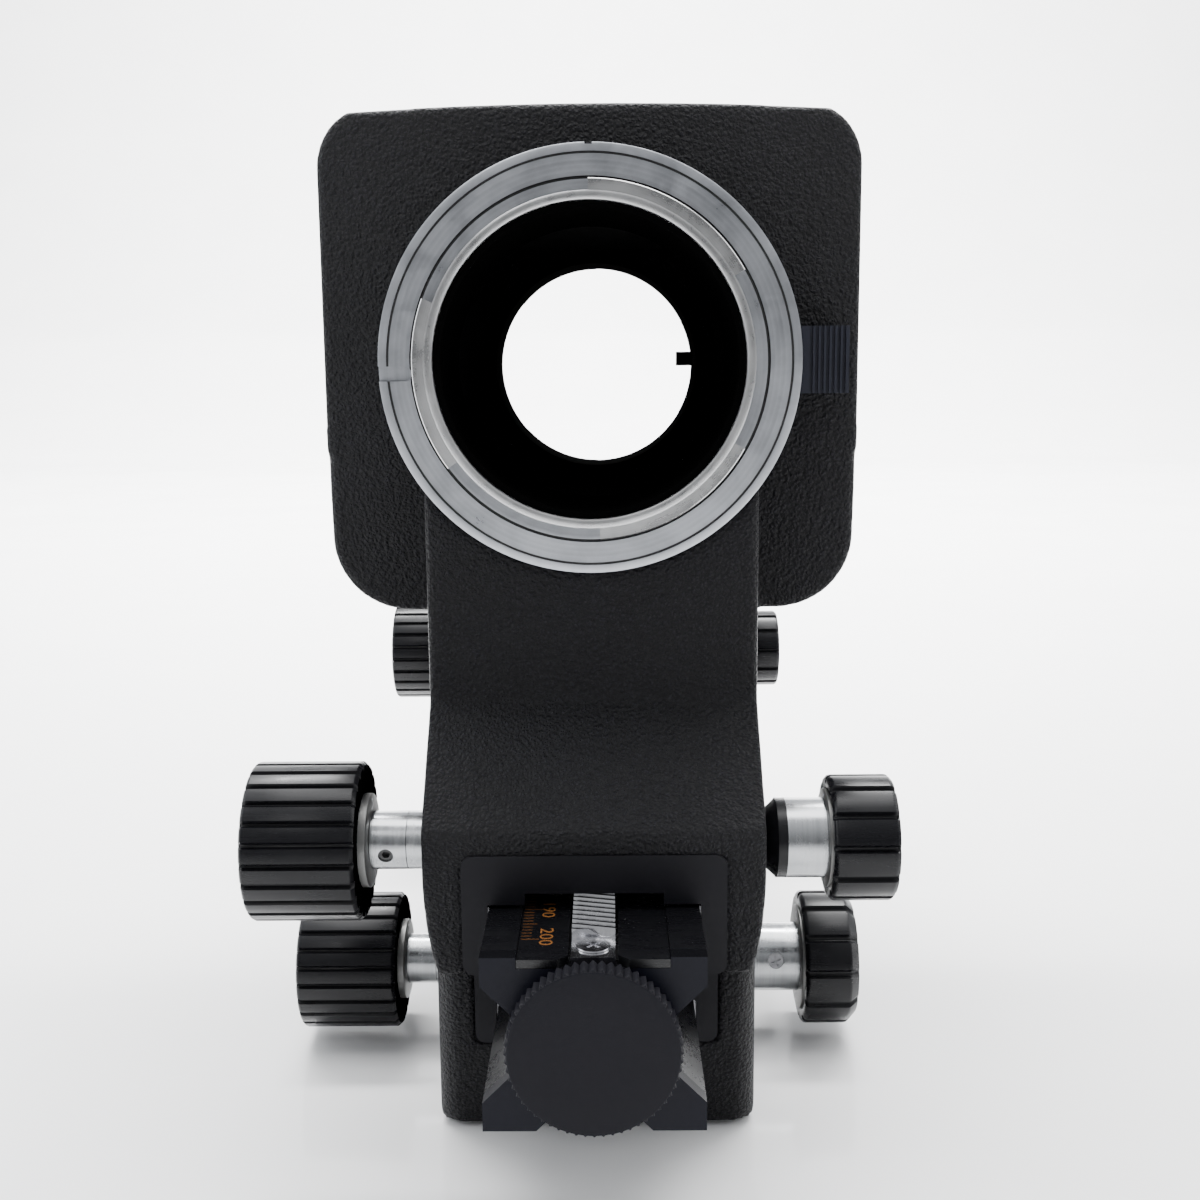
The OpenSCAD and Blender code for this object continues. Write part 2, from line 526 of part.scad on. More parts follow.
module lens_light_baffle() color([0.03, 0.03, 0.03]) to_front() translate([0, 0, axis_z]) union() {
  difference() {
    rod_y(-29.6, -12.1, throat_d / 2 + 0.15, 120);
    rod_y(-30, -10, throat_d / 2 - 1.0, 120);
  }
  translate([0, 0, 1.3]) box([17.4, -25.4, -1.5], [21.6, -24.4, 1.5]);
}
module lens_mount_screws() color(steel) to_front() translate([0, 0, axis_z])
  for (a = [12, 84, 156, 228, 300]) rotate([0, a, 0]) translate([0, 0, 26.4]) difference() {
    union() { rod_y(-32.3, -31.62, 1.7, 24); rod_y(-31.7, -29.8, 1.05, 24); }
    for (b = [45, 135]) rotate([0, b, 0]) box([-1.0, -33, -0.2], [1.0, -31.9, 0.2]);
  }
module lens_lock_button() color(metal) to_front() union() {
  translate([26.4, 0, axis_z - 1.8]) rod_y(-33.4, -24.4, 1.3, 24);
  box([25.5, -26.9, axis_z - 4.2], [38.6, -24.2, axis_z + 0.4]);
  translate([0, -25.55, axis_z - 1.9]) rod_x(38.2, 42.5, 3.2, 48);
}

block_casting();
block_end_plates();
block_gibs();
tripod_bush();
block_drive_bush();
block_clamp_cone();
block_clamp_shoe();
block_drive_pinion();
block_drive_collar();
block_drive_knob();
block_clamp_screw();
block_clamp_sleeve();
block_clamp_knob();
block_sleeve_screw();
rail_extrusion();
rail_upper_rack();
rail_lower_rack();
rail_scale_plates();
rail_rack_screws();
rail_rear_cap();
rail_front_cap();
rear_end_knob();
front_end_knob();
bellows();
rear_standard_casting();
rear_standard_plates();
rear_standard_gibs();
rear_drive_bush();
rear_clamp_cone();
rear_clamp_shoe();
bellows_rear_frame();
rear_drive_pinion();
rear_drive_collar();
rear_drive_screw();
rear_drive_knob();
rear_clamp_screw();
rear_clamp_sleeve();
rear_clamp_knob();
camera_flange();
camera_bayonet_tube();
camera_light_baffle();
mount_retaining_ring();
mount_release_lever();
front_standard_casting();
front_standard_plates();
front_standard_gibs();
front_drive_bush();
front_clamp_cone();
front_clamp_shoe();
bellows_front_frame();
front_drive_pinion();
front_drive_collar();
front_drive_knob();
front_clamp_screw();
front_clamp_sleeve();
front_clamp_knob();
lens_mount_ring();
lens_mount_screws();
lens_lock_button();
lens_light_baffle();
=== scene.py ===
import bpy, bmesh, math
import numpy as np
from mathutils import Vector, Matrix


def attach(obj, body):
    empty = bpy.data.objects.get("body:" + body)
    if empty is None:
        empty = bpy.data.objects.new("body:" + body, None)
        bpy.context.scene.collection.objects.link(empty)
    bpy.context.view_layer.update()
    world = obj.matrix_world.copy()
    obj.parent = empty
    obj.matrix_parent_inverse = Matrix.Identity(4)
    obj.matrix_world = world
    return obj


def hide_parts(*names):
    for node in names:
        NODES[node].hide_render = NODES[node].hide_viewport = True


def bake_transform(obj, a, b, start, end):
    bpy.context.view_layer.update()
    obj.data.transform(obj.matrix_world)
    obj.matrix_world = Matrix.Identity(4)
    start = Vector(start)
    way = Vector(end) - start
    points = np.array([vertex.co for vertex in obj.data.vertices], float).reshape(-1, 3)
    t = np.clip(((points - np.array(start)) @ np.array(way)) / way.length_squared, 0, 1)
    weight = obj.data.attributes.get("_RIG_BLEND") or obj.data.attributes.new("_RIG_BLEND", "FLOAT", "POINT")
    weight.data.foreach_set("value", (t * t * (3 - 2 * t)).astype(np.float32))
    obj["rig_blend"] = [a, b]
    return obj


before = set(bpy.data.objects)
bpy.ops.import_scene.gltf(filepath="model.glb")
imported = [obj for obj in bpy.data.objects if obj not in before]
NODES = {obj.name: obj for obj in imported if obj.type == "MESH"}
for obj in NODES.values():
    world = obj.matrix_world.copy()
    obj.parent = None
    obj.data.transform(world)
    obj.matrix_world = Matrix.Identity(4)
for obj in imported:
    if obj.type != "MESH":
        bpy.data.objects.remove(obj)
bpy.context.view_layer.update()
MM = 0.001
AXZ = 110.7
REAR_Y, FRONT_Y = -35.8, 99.2
MID2 = REAR_Y + FRONT_Y

# ------------------------------------------------------------------ camera
cam_d = bpy.data.cameras.new("camera")
cam = bpy.data.objects.new("camera", cam_d)
bpy.context.collection.objects.link(cam)
cam_d.lens, cam_d.sensor_width = 42.0, 36.0
cam_d.clip_start, cam_d.clip_end = 0.01, 20.0
yaw, pitch, roll = math.radians(0.37), math.radians(9.33), math.radians(0.5)
fwd0 = Vector((-math.sin(yaw), math.cos(yaw), 0))
right0 = Vector((math.cos(yaw), math.sin(yaw), 0))
fwd = fwd0 * math.cos(pitch) + Vector((0, 0, -math.sin(pitch)))
up0 = fwd0 * math.sin(pitch) + Vector((0, 0, math.cos(pitch)))
right = right0 * math.cos(roll) - up0 * math.sin(roll)
up = up0 * math.cos(roll) + right0 * math.sin(roll)
m = Matrix.Identity(4)
for i in range(3):
    m[i][0], m[i][1], m[i][2] = right[i], up[i], -fwd[i]
m[0][3], m[1][3], m[2][3] = 0.0023, -0.2238, 0.1097
cam.matrix_world = m
bpy.context.scene.camera = cam


# --------------------------------------------------------------- materials
class Mat:
    """A small helper round a Principled material's node tree."""

    def __init__(self, name, color, rough, metal=0.0, **more):
        self.m = bpy.data.materials.new(name)
        self.m.use_nodes = True
        self.t = self.m.node_tree
        self.b = self.t.nodes["Principled BSDF"]
        self.b.inputs["Base Color"].default_value = (*color, 1)
        self.b.inputs["Roughness"].default_value = rough
        self.b.inputs["Metallic"].default_value = metal
        for k, v in more.items():
            self.b.inputs[k.replace("_", " ")].default_value = v
        self.co = self.t.nodes.new("ShaderNodeTexCoord").outputs["Object"]

    def node(self, kind, **props):
        n = self.t.nodes.new(kind)
        for k, v in props.items():
            setattr(n, k, v)
        return n

    def link(self, a, b):
        self.t.links.new(a, b)

    def scaled(self, s, loc=(0, 0, 0)):
        n = self.node("ShaderNodeMapping")
        n.inputs["Scale"].default_value = s
        n.inputs["Location"].default_value = loc
        self.link(self.co, n.inputs["Vector"])
        return n.outputs["Vector"]

    def noise(self, vec, scale, detail=3.0, rough=0.5, distort=0.0):
        n = self.node("ShaderNodeTexNoise")
        n.inputs["Scale"].default_value = scale
        n.inputs["Detail"].default_value = detail
        n.inputs["Roughness"].default_value = rough
        n.inputs["Distortion"].default_value = distort
        self.link(vec, n.inputs["Vector"])
        return n.outputs["Fac"]

    def ramp(self, fac, stops):
        n = self.node("ShaderNodeValToRGB")
        e = n.color_ramp.elements
        while len(e) < len(stops):
            e.new(0.5)
        for i, (p, c) in enumerate(stops):
            e[i].position = p
            e[i].color = (*c, 1) if isinstance(c, tuple) else (c, c, c, 1)
        self.link(fac, n.inputs["Fac"])
        return n.outputs["Color"]

    def math(self, op, a, b=None, clamp=False):
        n = self.node("ShaderNodeMath", operation=op, use_clamp=clamp)
        for i, v in enumerate((a, b)):
            if v is None:
                continue
            if isinstance(v, (int, float)):
                n.inputs[i].default_value = v
            else:
                self.link(v, n.inputs[i])
        return n.outputs[0]

    def bump(self, height, strength, dist, prev=None):
        n = self.node("ShaderNodeBump")
        n.inputs["Strength"].default_value = strength
        n.inputs["Distance"].default_value = dist
        self.link(height, n.inputs["Height"])
        if prev is not None:
            self.link(prev, n.inputs["Normal"])
        self.link(n.outputs["Normal"], self.b.inputs["Normal"])
        return n.outputs["Normal"]

    def rough(self, out):
        self.link(out, self.b.inputs["Roughness"])

    def color(self, out):
        self.link(out, self.b.inputs["Base Color"])


def maprange(M, v, lo, hi, a=0.0, b=1.0):
    n = M.node("ShaderNodeMapRange")
    n.inputs["From Min"].default_value = a
    n.inputs["From Max"].default_value = b
    n.inputs["To Min"].default_value = lo
    n.inputs["To Max"].default_value = hi
    M.link(v, n.inputs["Value"])
    return n.outputs["Result"]


def make_crinkle():
    M = Mat("crinkle_enamel", (0.004, 0.004, 0.005), 0.5, Specular_IOR_Level=0.23)
    warp = M.node("ShaderNodeTexNoise")
    warp.inputs["Scale"].default_value = 1500
    warp.inputs["Detail"].default_value = 2
    M.link(M.co, warp.inputs["Vector"])
    mix = M.node("ShaderNodeVectorMath", operation="MULTIPLY_ADD")
    M.link(warp.outputs["Color"], mix.inputs[0])
    mix.inputs[1].default_value = (0.0007, 0.0007, 0.0007)
    M.link(M.co, mix.inputs[2])
    v = M.node("ShaderNodeTexVoronoi", feature="SMOOTH_F1")
    v.inputs["Scale"].default_value = 1950
    v.inputs["Smoothness"].default_value = 0.5
    M.link(mix.outputs[0], v.inputs["Vector"])
    fine = M.noise(M.co, 4300, 3, 0.65, 0.8)
    h = M.math("ADD", M.math("MULTIPLY", v.outputs["Distance"], -1.0), M.math("MULTIPLY", fine, 0.5))
    M.bump(h, 1.0, 0.00042)
    M.rough(maprange(M, fine, 0.33, 0.60, 0.3, 0.7))
    wear = M.noise(M.co, 55, 4, 0.6)
    tint = M.ramp(wear, [(0.3, (0.0025, 0.0024, 0.0038)), (0.75, (0.0046, 0.0045, 0.0070))])
    # painted highlight and painted shade: the crinkle tops get up to 2.2 times the base colour and the hollows 0.6
    # times
    peak_painted_light = M.ramp(v.outputs["Distance"], [(0.10, (2.2, 2.2, 2.2)), (0.42, (0.6, 0.6, 0.6))])
    mul = M.node("ShaderNodeMix", data_type="RGBA", blend_type="MULTIPLY")
    mul.inputs["Factor"].default_value = 1.0
    M.link(tint, mul.inputs[6])
    M.link(peak_painted_light, mul.inputs[7])
    M.color(mul.outputs[2])
    return M.m


def make_satin(name, color, rough, grain=0.4, var=0.06, spec=0.5):
    M = Mat(name, color, rough, Specular_IOR_Level=spec)
    f = M.noise(M.co, 5200, 2, 0.6)
    M.bump(f, grain, 0.00004)
    cl = M.noise(M.co, 70, 5, 0.65)
    M.rough(maprange(M, cl, rough - var, rough + var, 0.25, 0.75))
    c2 = tuple(x * 1.35 for x in color)
    M.color(M.ramp(cl, [(0.3, color), (0.8, c2)]))
    return M.m


def make_gloss(name, color, rough=0.22, spec=0.5):
    M = Mat(name, color, rough, Specular_IOR_Level=spec)
    s = M.noise(M.scaled((30, 900, 900)), 3.0, 4, 0.7)
    cl = M.noise(M.co, 160, 4, 0.6)
    M.rough(maprange(M, M.math("ADD", M.math("MULTIPLY", s, 0.5), M.math("MULTIPLY", cl, 0.5)), rough - 0.07, rough + 0.13, 0.3, 0.7))
    M.bump(s, 0.10, 0.00003)
    dust = M.noise(M.co, 2200, 2, 0.7)
    M.color(M.ramp(dust, [(0.62, color), (0.85, tuple(x * 2.2 + 0.004 for x in color))]))
    return M.m


def radius_of(M, centre, axis):
    """Distance from an axis through centre, along X or Y."""
    sub = M.node("ShaderNodeVectorMath", operation="SUBTRACT")
    M.link(M.co, sub.inputs[0])
    sub.inputs[1].default_value = centre
    mul = M.node("ShaderNodeVectorMath", operation="MULTIPLY")
    M.link(sub.outputs[0], mul.inputs[0])
    mul.inputs[1].default_value = (0, 1, 1) if axis == "X" else (1, 0, 1)
    ln = M.node("ShaderNodeVectorMath", operation="LENGTH")
    M.link(mul.outputs[0], ln.inputs[0])
    return ln.outputs["Value"], sub.outputs[0]


def make_turned(name, centre, axis, color=(0.62, 0.62, 0.63), rough=0.22, depth=0.25, wear=0.5):
    """Turned or satin metal: fine lines round the axis, with handling wear."""
    M = Mat(name, color, rough, 1.0)
    r, local = radius_of(M, centre, axis)
    sep = M.node("ShaderNodeSeparateXYZ")
    M.link(local, sep.inputs[0])
    along = sep.outputs["X" if axis == "X" else "Y"]
    comb = M.node("ShaderNodeCombineXYZ")
    M.link(r, comb.inputs[0])
    M.link(along, comb.inputs[1])
    lines = M.noise(comb.outputs[0], 9000, 2, 0.7)
    bands = M.noise(comb.outputs[0], 900, 3, 0.6)
    cl = M.noise(M.co, 130, 6, 0.7, 0.4)
    sc = M.noise(M.scaled((400, 400, 2600)), 1.0, 5, 0.75, 0.8)
    M.bump(lines, depth, 0.00002)
    mix = M.math("ADD", M.math("MULTIPLY", bands, 0.4), M.math("MULTIPLY", cl, 0.6))
    M.rough(maprange(M, mix, rough - 0.06, rough + 0.20, 0.3, 0.72))
    dark = tuple(x * (1 - 0.42 * wear) for x in color)
    a = M.ramp(M.math("ADD", M.math("MULTIPLY", cl, 0.45), M.math("MULTIPLY", bands, 0.55)), [(0.36, dark), (0.54, color)])
    spots = M.ramp(sc, [(0.70, (1, 1, 1)), (0.80, (1 - 0.5 * wear,) * 3)])
    mul = M.node("ShaderNodeMix", data_type="RGBA", blend_type="MULTIPLY")
    mul.inputs["Factor"].default_value = 1.0
    M.link(a, mul.inputs[6])
    M.link(spots, mul.inputs[7])
    M.color(mul.outputs[2])
    return M.m


def make_bellows():
    M = Mat("bellows_cloth", (0.006, 0.006, 0.007), 0.6, Specular_IOR_Level=0.2)
    v = M.node("ShaderNodeTexVoronoi", feature="DISTANCE_TO_EDGE")
    v.inputs["Scale"].default_value = 1500
    M.link(M.co, v.inputs["Vector"])
    f = M.noise(M.co, 3600, 3, 0.6)
    M.bump(M.math("ADD", v.outputs["Distance"], M.math("MULTIPLY", f, 0.3)), 0.55, 0.00012)
    cl = M.noise(M.co, 90, 4, 0.6)
    M.rough(maprange(M, cl, 0.46, 0.68, 0.3, 0.7))
    M.color(M.ramp(cl, [(0.3, (0.0045, 0.0045, 0.005)), (0.8, (0.0085, 0.0085, 0.009))]))
    return M.m


def make_floor():
    M = Mat("white_table", (0.86, 0.86, 0.86), 0.08, Specular_IOR_Level=0.75)
    cl = M.noise(M.co, 9, 4, 0.6)
    M.rough(maprange(M, cl, 0.06, 0.11, 0.3, 0.7))
    M.color(M.ramp(cl, [(0.3, (0.84, 0.84, 0.845)), (0.7, (0.87, 0.87, 0.87))]))
    return M.m


def make_cap():
    """Blue-grey satin on the faces; the upward faces are less rough and painted near black, a painted reflection of the
    dark body above them.
    """
    M = Mat("cap_grey", (0.005, 0.0055, 0.010), 0.42, Specular_IOR_Level=0.14)
    g = M.node("ShaderNodeNewGeometry")
    sep = M.node("ShaderNodeSeparateXYZ")
    M.link(g.outputs["Normal"], sep.inputs[0])
    # painted reflection: top weights the upward faces, whose colour is mixed towards near black
    top = maprange(M, sep.outputs["Z"], 0.0, 1.0, 0.55, 0.85)
    cl = M.noise(M.co, 70, 5, 0.65)
    f = M.noise(M.co, 5200, 2, 0.6)
    M.bump(f, 0.4, 0.00004)
    face = M.ramp(cl, [(0.3, (0.0045, 0.0048, 0.0095)), (0.8, (0.0060, 0.0064, 0.0120))])
    mix = M.node("ShaderNodeMix", data_type="RGBA")
    M.link(top, mix.inputs["Factor"])
    M.link(face, mix.inputs[6])
    mix.inputs[7].default_value = (0.004, 0.004, 0.005, 1)
    M.color(mix.outputs[2])
    M.rough(M.math("SUBTRACT", maprange(M, cl, 0.36, 0.48, 0.25, 0.75), M.math("MULTIPLY", top, 0.16)))
    return M.m


CRINKLE = make_crinkle()
SATIN = make_satin("satin_plate", (0.0058, 0.0057, 0.0078), 0.44, spec=0.15)
FRAMEP = make_satin("bellows_frame", (0.007, 0.007, 0.008), 0.5, spec=0.3)
CAPM = make_cap()
DISC = make_satin("end_disc", (0.0070, 0.0069, 0.0098), 0.6, 0.6, spec=0.13)
LEVER = make_satin("lever_grey", (0.010, 0.011, 0.018), 0.42, spec=0.3)
KNOB = make_gloss("gloss_knob", (0.0036, 0.0036, 0.0048), 0.27, 0.25)
RAILM = make_gloss("rail_black", (0.0035, 0.0035, 0.0045), 0.26, 0.38)
# matt black for the light baffles, also used as painted shadow on the drive knobs' inner end faces
BLACK_BAFFLE_AND_PAINTED_SHADOW = make_satin("matt_black", (0.0015, 0.0015, 0.0015), 0.85, 0.8, spec=0.0)
CLOTH = make_bellows()
RING = make_turned("ring_satin", (0, 0, AXZ * MM), "Y", (0.50, 0.515, 0.545), 0.30, 0.6, 0.6)
TUBE = make_turned("tube_bright", (0, 0, AXZ * MM), "Y", (0.54, 0.54, 0.54), 0.24, 0.3, 0.75)
BRIGHT_R = make_turned("bright_rear", (0, REAR_Y * MM, 0.045), "X", (0.43, 0.44, 0.45), 0.16, 0.5, 0.4)
BRIGHT_F = make_turned("bright_front", (0, FRONT_Y * MM, 0.045), "X", (0.43, 0.44, 0.45), 0.16, 0.5, 0.4)
BRIGHT_B = make_turned("bright_block", (0, 0, 0.0118), "X", (0.43, 0.44, 0.45), 0.16, 0.5, 0.4)
STEEL = make_turned("machined_steel", (0, 0, 0), "X", (0.50, 0.50, 0.52), 0.28, 0.3, 0.4)
RINGF = make_turned("ring_front", (0, 0, AXZ * MM), "Y", (0.36, 0.37, 0.385), 0.32, 0.5, 0.5)


def black_bore(mat, r_mm, centre):
    """Blackens a turned part inside a radius, as an anti-reflection coat."""
    t = mat.node_tree
    b = t.nodes["Principled BSDF"]
    co = t.nodes.new("ShaderNodeTexCoord").outputs["Object"]
    sub = t.nodes.new("ShaderNodeVectorMath")
    sub.operation = "SUBTRACT"
    sub.inputs[1].default_value = centre
    t.links.new(co, sub.inputs[0])
    mul = t.nodes.new("ShaderNodeVectorMath")
    mul.operation = "MULTIPLY"
    mul.inputs[1].default_value = (1, 0, 1)
    t.links.new(sub.outputs[0], mul.inputs[0])
    ln = t.nodes.new("ShaderNodeVectorMath")
    ln.operation = "LENGTH"
    t.links.new(mul.outputs[0], ln.inputs[0])
    gt = t.nodes.new("ShaderNodeMath")
    gt.operation = "GREATER_THAN"
    gt.inputs[1].default_value = r_mm * MM
    t.links.new(ln.outputs["Value"], gt.inputs[0])
    src = b.inputs["Base Color"].links[0].from_socket
    mx = t.nodes.new("ShaderNodeMix")
    mx.data_type = "RGBA"
    t.links.new(gt.outputs[0], mx.inputs["Factor"])
    mx.inputs[6].default_value = (0.0015, 0.0015, 0.0015, 1)
    t.links.new(src, mx.inputs[7])
    t.links.new(mx.outputs[2], b.inputs["Base Color"])
    t.links.new(gt.outputs[0], b.inputs["Metallic"])
    b.inputs["Specular IOR Level"].default_value = 0.0


black_bore(RINGF, 21.35, (0, 0, AXZ * MM))
RACK = make_turned("rack_steel", (0, 0, 0), "X", (0.68, 0.68, 0.70), 0.16, 0.2, 0.3)
# grey metal insert, its colour darkened to 0.21 as painted shade on the knobs' inner ends
INSERT_WITH_PAINTED_SHADE = make_satin("knob_insert", (0.21, 0.21, 0.205), 0.42, 0.5)
INSERT_WITH_PAINTED_SHADE.node_tree.nodes["Principled BSDF"].inputs["Metallic"].default_value = 0.9
PAINT = make_satin("scale_paint", (0.17, 0.066, 0.016), 0.5, 0.2, spec=0.2)
# dark steel for the drive screw, also used as painted shade in the flange's slot and grooves
DARK_SCREW_AND_PAINTED_SHADE = make_satin("dark_screw", (0.03, 0.03, 0.03), 0.35)


def paint(obj, mat):
    obj.data.materials.clear()
    obj.data.materials.append(mat)


def soften(obj, width, segs=3, angle=32):
    """Rounded edges on a machined piece, with clean shading."""
    b = obj.modifiers.new("edge", "BEVEL")
    b.width, b.segments, b.limit_method = width * MM, segs, "ANGLE"
    b.angle_limit = math.radians(angle)
    b.harden_normals = False
    b.use_clamp_overlap = True
    for p in obj.data.polygons:
        p.use_smooth = True
    w = obj.modifiers.new("normals", "WEIGHTED_NORMAL")
    w.keep_sharp = True
    return obj


def link(obj):
    bpy.context.collection.objects.link(obj)
    return obj


def from_bm(name, bm, mat, body, smooth=True, angle=35):
    me = bpy.data.meshes.new(name)
    bm.normal_update()
    bm.to_mesh(me)
    bm.free()
    if smooth:
        me.shade_smooth() if hasattr(me, "shade_smooth") else None
        me.set_sharp_from_angle(angle=math.radians(angle))
    o = link(bpy.data.objects.new(name, me))
    paint(o, mat)
    if body:
        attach(o, body)
    return o


def loft(name, rings, mat, body, cap0=True, cap1=True, close=False, angle=35):
    """Skin over rings of points (mm), each a list of the same length."""
    bm = bmesh.new()
    vs = [[bm.verts.new(Vector(p) * MM) for p in r] for r in rings]
    n = len(rings[0])
    pairs = list(zip(vs, vs[1:])) + ([(vs[-1], vs[0])] if close else [])
    for a, b in pairs:
        for i in range(n):
            j = (i + 1) % n
            bm.faces.new((a[i], a[j], b[j], b[i]))
    if not close:
        if cap0:
            bm.faces.new(list(reversed(vs[0])))
        if cap1:
            bm.faces.new(vs[-1])
    bmesh.ops.recalc_face_normals(bm, faces=bm.faces)
    return from_bm(name, bm, mat, body, True, angle)


def ring_pts(axis, c, s, rad, n):
    """n points round an axis: rad is a number or a function of the angle."""
    out = []
    for k in range(n):
        a = 2 * math.pi * k / n
        r = rad(a) if callable(rad) else rad
        if axis == "X":
            out.append((s, c[0] + r * math.cos(a), c[1] + r * math.sin(a)))
        else:
            out.append((c[0] + r * math.cos(a), s, c[1] + r * math.sin(a)))
    return out


def lathe(name, axis, c, profile, mat, body, n=160, close=True, angle=35):
    return loft(name, [ring_pts(axis, c, s, r, n) for s, r in profile], mat, body, close=close, angle=angle)


def modify(obj):
    """Bakes the modifiers into the mesh."""
    dg = bpy.context.evaluated_depsgraph_get()
    me = bpy.data.meshes.new_from_object(obj.evaluated_get(dg))
    obj.modifiers.clear()
    old = obj.data
    obj.data = me
    bpy.data.meshes.remove(old)
    return obj


# ---------------------------------------------------------------- castings
def casting(node, body, voxel=0.55):
    src = NODES[node]
    o = link(bpy.data.objects.new(node + "_cast", src.data.copy()))
    r = o.modifiers.new("vox", "REMESH")
    r.mode, r.voxel_size, r.adaptivity = "VOXEL", voxel * MM, 0.0
    r.use_smooth_shade = True
    s = o.modifiers.new("sm", "SMOOTH")
    s.factor, s.iterations = 0.5, 5
    modify(o)
    if "standard" in node:
        # the head's side edges run straight past the join of its two halves
        for v in o.data.vertices:
            x, z = abs(v.co.x) / MM, v.co.z / MM
            if x > 37.3 and 88.0 < z < 102.0:
                t = (z - 88.0) / 14.0
                t = t * t * (3 - 2 * t)
                edge = 37.78 + 0.3 * t
                if x > edge - 0.45:
                    v.co.x = math.copysign(max(x, edge) if x > edge - 0.12 else x + 0.12, v.co.x) * MM
    paint(o, CRINKLE)
    for p in o.data.polygons:
        p.use_smooth = True
    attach(o, body)
    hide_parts(node)
    return o


casting("rear_standard_casting", "rear_standard")
casting("front_standard_casting", "front_standard")
casting("block_casting", "tripod_block")


# ------------------------------------------------------------------- knobs
def drive_knob(name, body, y, z, x0, x1, node):
    """Fluted knob: wide lands, narrow grooves, coned inner end and metal insert."""
    R, nf, per = 11.0, 24, 18
    lands = nf * per

    def prof(scale, groove=1.0):
        def f(a):
            t = (a / (2 * math.pi) * nf) % 1.0
            d = min(t, 1 - t) * 2
            g = max(0.0, 1 - (d / 0.27) ** 2) ** 0.5
            return R * scale - groove * 0.62 * g - 0.02 * (1 - math.sin(math.pi * t))
        return f

    rings = [ring_pts("X", (y, z), s, r, lands) for s, r in ((x0 + 0.30, 8.8), (x0 + 0.10, 9.2), (x0, 9.6), (x0, 9.95))]
    for s, sc, g in ((0.03, 0.945, 0.35), (0.12, 0.968, 0.75), (0.32, 0.988, 1.0), (0.62, 1.0, 1.0)):
        rings.append(ring_pts("X", (y, z), x0 + s, prof(sc, g), lands))
    for s, sc, g in ((1.55, 1.0, 1.0), (1.40, 0.996, 1.0), (0.95, 0.955, 0.9)):
        rings.append(ring_pts("X", (y, z), x1 - s, prof(sc, g), lands))
    rings += [ring_pts("X", (y, z), x1 - s, r, lands) for s, r in ((0.92, 9.6), (1.05, 7.4), (1.1, 6.9))]
    o = loft(name, rings, KNOB, body, angle=30)
    # painted shadow: the knob's inner end face, turned towards the body, gets the matt black
    o.data.materials.append(BLACK_BAFFLE_AND_PAINTED_SHADOW)
    for p in o.data.polygons:
        if p.center.x > (x1 - 1.12) * MM:
            p.material_index = 1
    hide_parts(node)
    ins = lathe(name + "_insert", "X", (y, z), [(x1 - 1.3, 2.6), (x1 - 0.08, 2.6), (x1, 2.75), (x1, 6.3), (x1 - 0.12, 6.5), (x1 - 1.3, 6.54)], INSERT_WITH_PAINTED_SHADE, body, 96)
    for k, a in enumerate((90, 270)):
        cy, cz = y + 5.2 * math.cos(math.radians(a)), z + 5.2 * math.sin(math.radians(a))
        pin = lathe(f"{name}_pin{k}", "X", (cy, cz), [(x1 - 0.5, 0.35), (x1 - 0.12, 0.35), (x1 - 0.12, 0.55), (x1 + 0.03, 0.62), (x1 + 0.03, 0.8), (x1 - 0.05, 0.92), (x1 - 0.5, 0.92)], STEEL, body, 40)
    return o


def clamp_knob(name, body, y, z, x0, x1, R, node, cham):
    nf, per = 12, 24
    n = nf * per

    def prof(off, groove=1.0):
        def f(a):
            t = (a / (2 * math.pi) * nf + 0.25) % 1.0
            d = min(t, 1 - t) * 2
            g = max(0.0, 1 - (d / 0.22) ** 2) ** 0.5
            return R - off - groove * 0.72 * g - 0.05 * (1 - math.sin(math.pi * t))
        return f

    rc = R * 0.80
    rings = [ring_pts("X", (y, z), x0 + 0.55, rc - 0.6, n), ring_pts("X", (y, z), x0 + 0.5, rc, n)]
    rings += [ring_pts("X", (y, z), x0 + 0.42, rc + 0.3, n)]
    for s, off, g in ((0.35, 0.9, 0.4), (0.45, 0.45, 0.8), (0.75, 0.12, 1.0), (1.1, 0.0, 1.0)):
        rings.append(ring_pts("X", (y, z), x0 + s, prof(off, g), n))
    for s, off, g in ((cham + 0.35, 0.0, 1.0), (cham + 0.05, 0.06, 1.0), (cham - 0.15, 0.2, 0.95), (0.35, cham * 0.82, 0.45), (0.12, cham * 0.95, 0.35)):
        rings.append(ring_pts("X", (y, z), x1 - s, prof(off, g), n))
    rr = R - cham * 1.2 - 0.7
    rings += [ring_pts("X", (y, z), x1 - 0.02, rr, n), ring_pts("X", (y, z), x1, rr - 0.5, n), ring_pts("X", (y, z), x1 - 0.06, rr - 1.0, n)]
    rings += [ring_pts("X", (y, z), x1 - 0.45, rr - 1.25, n), ring_pts("X", (y, z), x1 - 0.55, rr - 1.5, n), ring_pts("X", (y, z), x1 - 0.6, 1.0, n)]
    o = loft(name, rings, KNOB, body, angle=40)
    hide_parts(node)
    ins = lathe(name + "_insert", "X", (y, z), [(x0 + 0.9, 2.6), (x0 + 0.05, 2.6), (x0, 2.75), (x0, rc - 0.35), (x0 + 0.12, rc - 0.12), (x0 + 0.9, rc - 0.1)], INSERT_WITH_PAINTED_SHADE, body, 96)
    for k, a in enumerate((90, 270)):
        rp = rc - 1.5
        cy, cz = y + rp * math.cos(math.radians(a)), z + rp * math.sin(math.radians(a))
        pin = lathe(f"{name}_pin{k}", "X", (cy, cz), [(x0 + 0.5, 0.3), (x0 + 0.12, 0.3), (x0 + 0.12, 0.5), (x0 - 0.03, 0.55), (x0 - 0.03, 0.72), (x0 + 0.05, 0.85), (x0 + 0.5, 0.85)], STEEL, body, 40)
    return o


